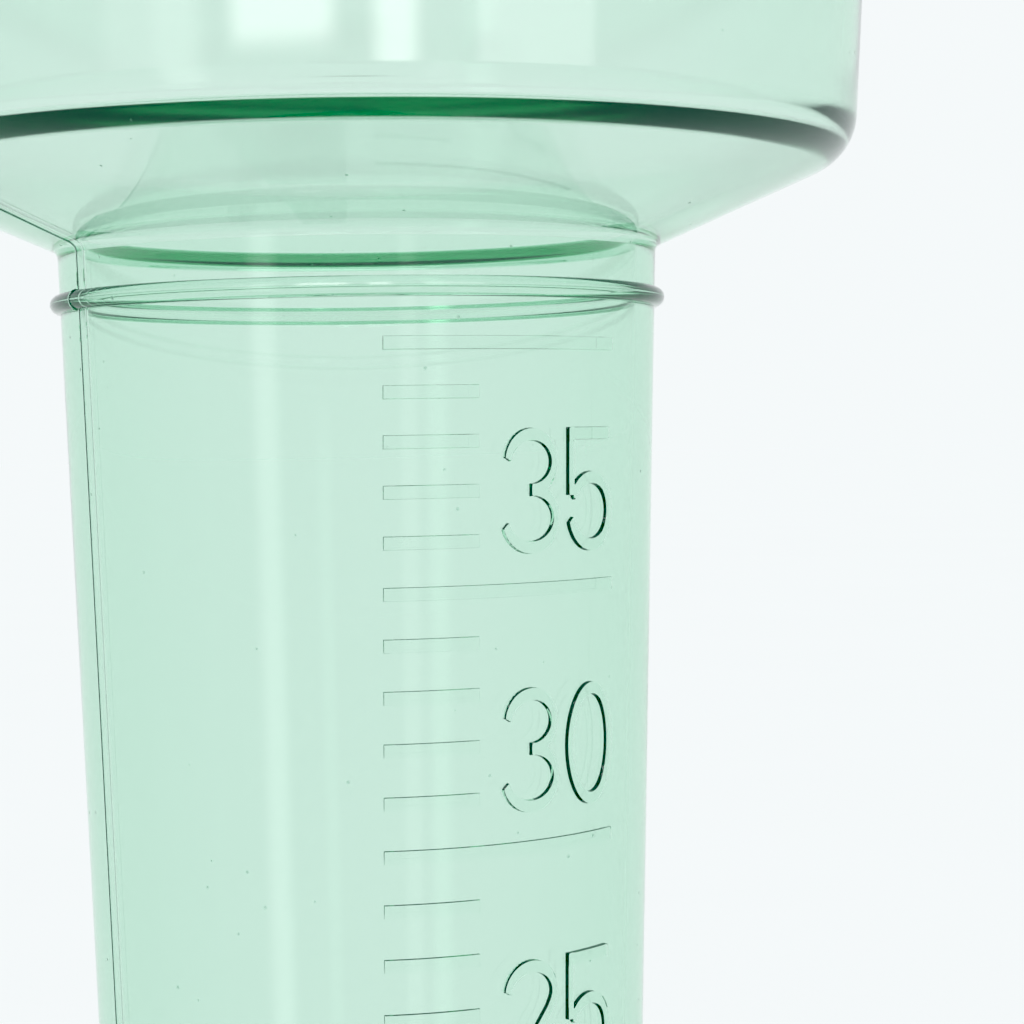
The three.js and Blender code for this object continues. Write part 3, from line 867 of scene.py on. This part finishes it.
# ---------------------------------------------------------------- materials
class Nodes:
    """A material's node tree with short ways to add nodes."""

    def __init__(self, name):
        self.material = bpy.data.materials.new(name)
        self.material.use_nodes = True
        self.tree = self.material.node_tree
        self.tree.nodes.clear()
        self.output = self.add("ShaderNodeOutputMaterial")
        self.shader = self.add("ShaderNodeBsdfPrincipled")
        self.link(self.shader.outputs[0], self.output.inputs["Surface"])
        self.place = self.add("ShaderNodeTexCoord").outputs["Object"]

    def add(self, kind, **values):
        node = self.tree.nodes.new(kind)
        for name, value in values.items():
            setattr(node, name, value)
        return node

    def link(self, source, target):
        self.tree.links.new(source, target)

    def set(self, name, value):
        self.shader.inputs[name].default_value = value

    def feed(self, name, source):
        self.link(source, self.shader.inputs[name])

    def height(self):
        parts = self.add("ShaderNodeSeparateXYZ")
        self.link(self.place, parts.inputs[0])
        return parts.outputs["Z"]

    def stretched(self, scale):
        """The place with each axis scaled, so that a pattern is drawn out along the smallest."""
        mapping = self.add("ShaderNodeMapping")
        self.link(self.place, mapping.inputs["Vector"])
        mapping.inputs["Scale"].default_value = scale
        return mapping.outputs[0]

    def noise(self, scale, detail=2.0, roughness=0.5, place=None):
        node = self.add("ShaderNodeTexNoise")
        self.link(place or self.place, node.inputs["Vector"])
        node.inputs["Scale"].default_value = scale
        node.inputs["Detail"].default_value = detail
        node.inputs["Roughness"].default_value = roughness
        return node.outputs[0]

    def spots(self, scale, reach, share):
        """Small round spots: one in some of the cells of a Voronoi pattern."""
        cells = self.add("ShaderNodeTexVoronoi")
        self.link(self.place, cells.inputs["Vector"])
        cells.inputs["Scale"].default_value = scale
        near = self.span(cells.outputs["Distance"], reach * 0.5, reach, 1.0, 0.0)
        parts = self.add("ShaderNodeSeparateColor")
        self.link(cells.outputs["Color"], parts.inputs[0])
        chosen = self.math("LESS_THAN", parts.outputs[0], share)
        return self.math("MULTIPLY", near, chosen)

    def span(self, source, from_low, from_high, to_low, to_high):
        """A smooth step of a value from one range to another."""
        node = self.add("ShaderNodeMapRange", interpolation_type="SMOOTHSTEP")
        self.link(source, node.inputs["Value"])
        for name, value in (("From Min", from_low), ("From Max", from_high),
                            ("To Min", to_low), ("To Max", to_high)):
            node.inputs[name].default_value = value
        return node.outputs[0]

    def math(self, operation, *sources):
        node = self.add("ShaderNodeMath", operation=operation)
        for place, source in enumerate(sources):
            if isinstance(source, (int, float)):
                node.inputs[place].default_value = source
            else:
                self.link(source, node.inputs[place])
        return node.outputs[0]

    def mix(self, share, low, high):
        """A blend of two colours, each a tuple or another node's output."""
        node = self.add("ShaderNodeMix", data_type="RGBA")
        self.link(share, node.inputs["Factor"])
        for socket, value in ((node.inputs["A"], low), (node.inputs["B"], high)):
            if isinstance(value, tuple):
                socket.default_value = (*value, 1)
            else:
                self.link(value, socket)
        return node.outputs["Result"]

    def bump(self, height, distance, under=None):
        """Relief of a depth in mm, over another bump if there is one under it."""
        node = self.add("ShaderNodeBump")
        self.link(height, node.inputs["Height"])
        node.inputs["Distance"].default_value = distance * MM
        if under:
            self.link(under, node.inputs["Normal"])
        return node.outputs[0]


# Light absorbed per metre of plastic, for red, green and blue.
ABSORBED = (140.0, 50.0, 99.0)
ABSORPTION_MARGIN = 1.02
# The polish is duller in a band round the collector's corner: its middle, half height and roughness.
SATIN_HEIGHT = 11.8
SATIN_REACH = 6.0
SATIN_ROUGHNESS = 0.065


def clear_green_plastic():
    """Polished tinted polycarbonate with dust, handling marks and the slight swell of a moulding."""
    nodes = Nodes("clear_green_plastic")
    nodes.set("Transmission Weight", 1.0)
    nodes.set("IOR", 1.57)
    dust = nodes.spots(420.0, reach=0.075, share=0.16)
    streaks = nodes.noise(1.0, detail=1.0, place=nodes.stretched((900.0, 900.0, 40.0)))
    marks = nodes.span(streaks, 0.70, 0.78, 0.0, 1.0)
    nodes.feed("Base Color", nodes.mix(dust, (1.0, 1.0, 1.0), (0.62, 0.74, 0.68)))
    haze = nodes.math("MAXIMUM", nodes.math("MULTIPLY", dust, 0.35), nodes.math("MULTIPLY", marks, 0.05))
    satin_middle = BEAD_CENTRE.z + SATIN_HEIGHT * MM
    away = nodes.math("ABSOLUTE", nodes.math("SUBTRACT", nodes.height(), satin_middle))
    satin = nodes.span(away, SATIN_REACH * 0.5 * MM, SATIN_REACH * MM, SATIN_ROUGHNESS, 0.0)
    nodes.feed("Roughness", nodes.math("MAXIMUM", haze, satin))
    swell = nodes.noise(70.0, detail=1.0, roughness=0.4, place=nodes.stretched((1.0, 1.0, 0.35)))
    nodes.feed("Normal", nodes.bump(swell, 0.03))
    volume = nodes.add("ShaderNodeVolumeAbsorption")
    density = max(ABSORBED) * ABSORPTION_MARGIN
    volume.inputs["Density"].default_value = density
    volume.inputs["Color"].default_value = (*(1 - part / density for part in ABSORBED), 1)
    nodes.link(volume.outputs[0], nodes.output.inputs["Volume"])
    return nodes.material


def bracket_plastic():
    """Dark green moulded plastic with a fine eroded grain, faint flow mottling and dusty rubbed spots."""
    nodes = Nodes("bracket_plastic")
    mottle = nodes.noise(38.0, detail=3.0, roughness=0.6, place=nodes.stretched((1.0, 1.0, 0.45)))
    flow = nodes.span(mottle, 0.35, 0.68, 0.0, 1.0)
    body = nodes.mix(flow, (0.105, 0.335, 0.215), (0.135, 0.395, 0.262))
    rubbed = nodes.span(nodes.noise(150.0, detail=4.0, roughness=0.65), 0.60, 0.74, 0.0, 1.0)
    dusty = nodes.mix(nodes.math("MULTIPLY", rubbed, 0.35), body, (0.26, 0.47, 0.36))
    specks = nodes.spots(650.0, reach=0.09, share=0.12)
    nodes.feed("Base Color", nodes.mix(specks, dusty, (0.05, 0.16, 0.10)))
    sheen = nodes.span(nodes.noise(420.0, detail=3.0, roughness=0.6), 0.3, 0.7, 0.34, 0.52)
    nodes.feed("Roughness", nodes.math("ADD", sheen, nodes.math("MULTIPLY", rubbed, 0.08)))
    sunk = nodes.bump(nodes.noise(55.0, detail=1.0, roughness=0.4), 0.12)
    grain = nodes.noise(2600.0, roughness=0.6)
    nodes.feed("Normal", nodes.bump(grain, 0.018, under=sunk))
    nodes.set("Coat Weight", 0.08)
    nodes.set("Coat Roughness", 0.3)
    return nodes.material


def zinc_steel():
    """Bright zinc plating: a fine rolled grain along the turns, blue to straw tints and dull patches."""
    nodes = Nodes("zinc_steel")
    nodes.set("Metallic", 1.0)
    tint = nodes.span(nodes.noise(300.0), 0.36, 0.66, 0.0, 1.0)
    plated = nodes.mix(tint, (0.70, 0.74, 0.78), (0.80, 0.78, 0.70))
    dull = nodes.span(nodes.noise(900.0, detail=4.0, roughness=0.7), 0.56, 0.72, 0.0, 1.0)
    nodes.feed("Base Color", nodes.mix(nodes.math("MULTIPLY", dull, 0.6), plated, (0.46, 0.47, 0.48)))
    wear = nodes.noise(1400.0, detail=3.0, roughness=0.6)
    nodes.feed("Roughness", nodes.span(wear, 0.25, 0.75, 0.2, 0.42))
    grain = nodes.noise(1.0, roughness=0.6, place=nodes.stretched((600.0, 9000.0, 600.0)))
    nodes.feed("Normal", nodes.bump(grain, 0.006))
    return nodes.material


def grey_nylon():
    """Dull translucent nylon with a fine grain and faint cloudiness."""
    nodes = Nodes("grey_nylon")
    cloud = nodes.span(nodes.noise(260.0, detail=3.0, roughness=0.6), 0.34, 0.68, 0.0, 1.0)
    nodes.feed("Base Color", nodes.mix(cloud, (0.46, 0.47, 0.48), (0.58, 0.585, 0.59)))
    scuffs = nodes.noise(900.0, detail=3.0, roughness=0.6)
    nodes.feed("Roughness", nodes.span(scuffs, 0.3, 0.7, 0.42, 0.6))
    nodes.feed("Normal", nodes.bump(nodes.noise(4200.0, roughness=0.6), 0.012))
    nodes.set("Subsurface Weight", 0.15)
    nodes.set("Subsurface Scale", 0.0015)
    return nodes.material


# ---------------------------------------------------------------- surroundings
SKY = (0.9165, 0.949, 0.958)
FLOOR_SHADE = 0.9
FLOOR_MOTTLE = 0.004
FLOOR_REACH = 20.0
FLOOR_GAP = 0.001
SUN_SLANT = math.radians(15)
SUN_SPREAD = math.radians(50)
BLACK_LEVEL = (0.05, 0.008, 0.026)
LIGHT_BOUNCES = 32
GLOSS_BOUNCES = 16


def make_world():
    world = bpy.data.worlds.new("studio")
    world.use_nodes = True
    background = world.node_tree.nodes["Background"]
    background.inputs["Color"].default_value = (*SKY, 1)
    background.inputs["Strength"].default_value = 1.0
    bpy.context.scene.world = world


def stage_plane(name, corners, material):
    mesh = bpy.data.meshes.new(name)
    mesh.from_pydata(corners, [], [tuple(range(len(corners)))])
    plane = bpy.data.objects.new(name, mesh)
    bpy.context.scene.collection.objects.link(plane)
    mesh.materials.append(material)


def make_floor():
    nodes = Nodes("pale_floor")
    nodes.set("Specular IOR Level", 0.0)
    nodes.set("Roughness", 1.0)
    mottle = nodes.noise(6.0)
    darker, lighter = (FLOOR_SHADE - FLOOR_MOTTLE,) * 3, (FLOOR_SHADE + FLOOR_MOTTLE,) * 3
    nodes.feed("Base Color", nodes.mix(mottle, darker, lighter))
    height = CAD_BOUNDS[0][2] - FLOOR_GAP
    corners = [(x * FLOOR_REACH, y * FLOOR_REACH, height) for x, y in ((-1, -1), (1, -1), (1, 1), (-1, 1))]
    stage_plane("floor", corners, nodes.material)


def make_lights():
    """A wide soft overhead light that brings the floor to the brightness of the surroundings."""
    sun = bpy.data.lights.new("overhead", "SUN")
    sun.energy = math.pi * (1 / FLOOR_SHADE - 1) / math.cos(SUN_SLANT)
    sun.color = SKY
    sun.angle = SUN_SPREAD
    lamp = bpy.data.objects.new("overhead", sun)
    bpy.context.scene.collection.objects.link(lamp)
    lamp.rotation_euler = (SUN_SLANT, 0, 0)


# Bright patches of the studio seen in the gloss, on a far and a near curved screen: (middle, half width,
# softness) in degrees round from the camera, (bottom, top, softness) in mm above the bead, brightness.
FAR_GLOW = (
    ((-35.5, 3.4, 4.0), (-230, 300, 12), 0.85),
    ((17.5, 2.6, 2.2), (-230, 19, 14), 0.42),
)
NEAR_GLOW = (
    ((7.0, 2.8, 3.0), (10, 120, 5), 4.4),
    ((-12.2, 7.8, 3.2), (17.3, 120, 1.3), 4.2),
    ((32.2, 10.4, 1.7), (11.4, 120, 1.9), 1.6),
    ((-39.1, 4.4, 3.5), (11.4, 120, 1.9), 0.7),
)
FAR_RADIUS = 400.0
FAR_TOP = 300.0
NEAR_RADIUS = 120.0
NEAR_TOP = 120.0
SCREEN_BOTTOM = FOOT - 0.5
SCREEN_REACH = 70
SCREEN_STEPS = 48


def make_screen(name, radius, top, seen_through, patches):
    """A clear curved screen round the camera's side that only adds the bright patches."""
    nodes = Nodes(name)
    nodes.tree.nodes.remove(nodes.shader)
    parts = nodes.add("ShaderNodeSeparateXYZ")
    nodes.link(nodes.place, parts.inputs[0])
    forward = nodes.math("MULTIPLY", parts.outputs["Y"], -1.0)
    turned = nodes.math("ARCTAN2", parts.outputs["X"], forward)
    azimuth = nodes.math("MULTIPLY", turned, 180 / math.pi)
    height = nodes.math("MULTIPLY", parts.outputs["Z"], 1 / MM)
    total = None
    for (middle, half, soft), (low, high, fade), brightness in patches:
        aside = nodes.math("ABSOLUTE", nodes.math("SUBTRACT", azimuth, middle))
        across = nodes.span(aside, half - soft / 2, half + soft, brightness, 0.0)
        upward = nodes.span(height, low - fade, low + fade, 0.0, 1.0)
        downward = nodes.span(height, high - fade, high + fade, 1.0, 0.0)
        patch = nodes.math("MULTIPLY", across, nodes.math("MULTIPLY", upward, downward))
        total = patch if total is None else nodes.math("ADD", total, patch)
    glow = nodes.add("ShaderNodeEmission")
    nodes.link(total, glow.inputs["Strength"])
    clear = nodes.add("ShaderNodeBsdfTransparent")
    both = nodes.add("ShaderNodeAddShader")
    nodes.link(glow.outputs[0], both.inputs[0])
    nodes.link(clear.outputs[0], both.inputs[1])
    nodes.link(both.outputs[0], nodes.output.inputs["Surface"])
    nodes.material.cycles.emission_sampling = "NONE"
    points, faces = [], []
    for step in range(SCREEN_STEPS + 1):
        turn = math.radians(-SCREEN_REACH + 2 * SCREEN_REACH * step / SCREEN_STEPS)
        for level in (SCREEN_BOTTOM, top):
            points.append((radius * math.sin(turn) * MM, -radius * math.cos(turn) * MM, level * MM))
        if step:
            first = 2 * step - 2
            faces.append((first, first + 2, first + 3, first + 1))
    mesh = bpy.data.meshes.new(name)
    mesh.from_pydata(points, [], faces)
    mesh.materials.append(nodes.material)
    screen = bpy.data.objects.new(name, mesh)
    bpy.context.scene.collection.objects.link(screen)
    screen.location = BEAD_CENTRE
    screen.rotation_euler = (0, 0, CAMERA_AZIMUTH)
    screen.visible_camera = False
    screen.visible_diffuse = False
    screen.visible_shadow = False
    screen.visible_transmission = seen_through


def colour_settings():
    scene = bpy.context.scene
    scene.view_settings.view_transform = "Standard"
    scene.view_settings.look = "None"
    scene.view_settings.use_curve_mapping = True
    scene.view_settings.curve_mapping.black_level = BLACK_LEVEL
    scene.cycles.max_bounces = LIGHT_BOUNCES
    scene.cycles.transmission_bounces = LIGHT_BOUNCES
    scene.cycles.transparent_max_bounces = LIGHT_BOUNCES
    scene.cycles.glossy_bounces = GLOSS_BOUNCES


make_world()
make_floor()
make_lights()
make_screen("studio_glow", FAR_RADIUS, FAR_TOP, True, FAR_GLOW)
make_screen("near_glow", NEAR_RADIUS, NEAR_TOP, False, NEAR_GLOW)
colour_settings()


# ---------------------------------------------------------------- the pieces on the frame
def finish_piece(piece, nodes, body, material):
    piece.data.materials.append(material)
    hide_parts(*nodes)
    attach(piece, body)


CLEAR = clear_green_plastic()
BRACKET = bracket_plastic()
STEEL = zinc_steel()
NYLON = grey_nylon()

finish_piece(vessel_mesh(), ["measuring_vessel"], "vessel", CLEAR)
finish_piece(funnel_mesh(), ["evaporation_funnel"], "funnel", CLEAR)
finish_piece(moulded_copy("leaf_strainer", "leaf_strainer_moulding", voxel=0.2, rounds=4),
             ["leaf_strainer"], "strainer", CLEAR)
finish_piece(moulded_copy("holder", "holder_moulding", voxel=0.42, rounds=5),
             ["holder"], "holder", BRACKET)
finish_piece(moulded_copy("wall_plate", "wall_plate_moulding", voxel=0.4, rounds=5),
             ["wall_plate"], "wall_mount", BRACKET)
for end in ("upper", "lower"):
    low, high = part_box(f"{end}_screw")
    face_centre = Vector((0, low.y, (low.z + high.z) / 2))
    finish_piece(screw_mesh(f"{end}_screw_threaded", face_centre),
                 [f"{end}_screw"], "wall_mount", STEEL)
    finish_piece(moulded_copy(f"{end}_wall_plug", f"{end}_wall_plug_moulding", voxel=0.16, rounds=3),
                 [f"{end}_wall_plug"], "wall_mount", NYLON)
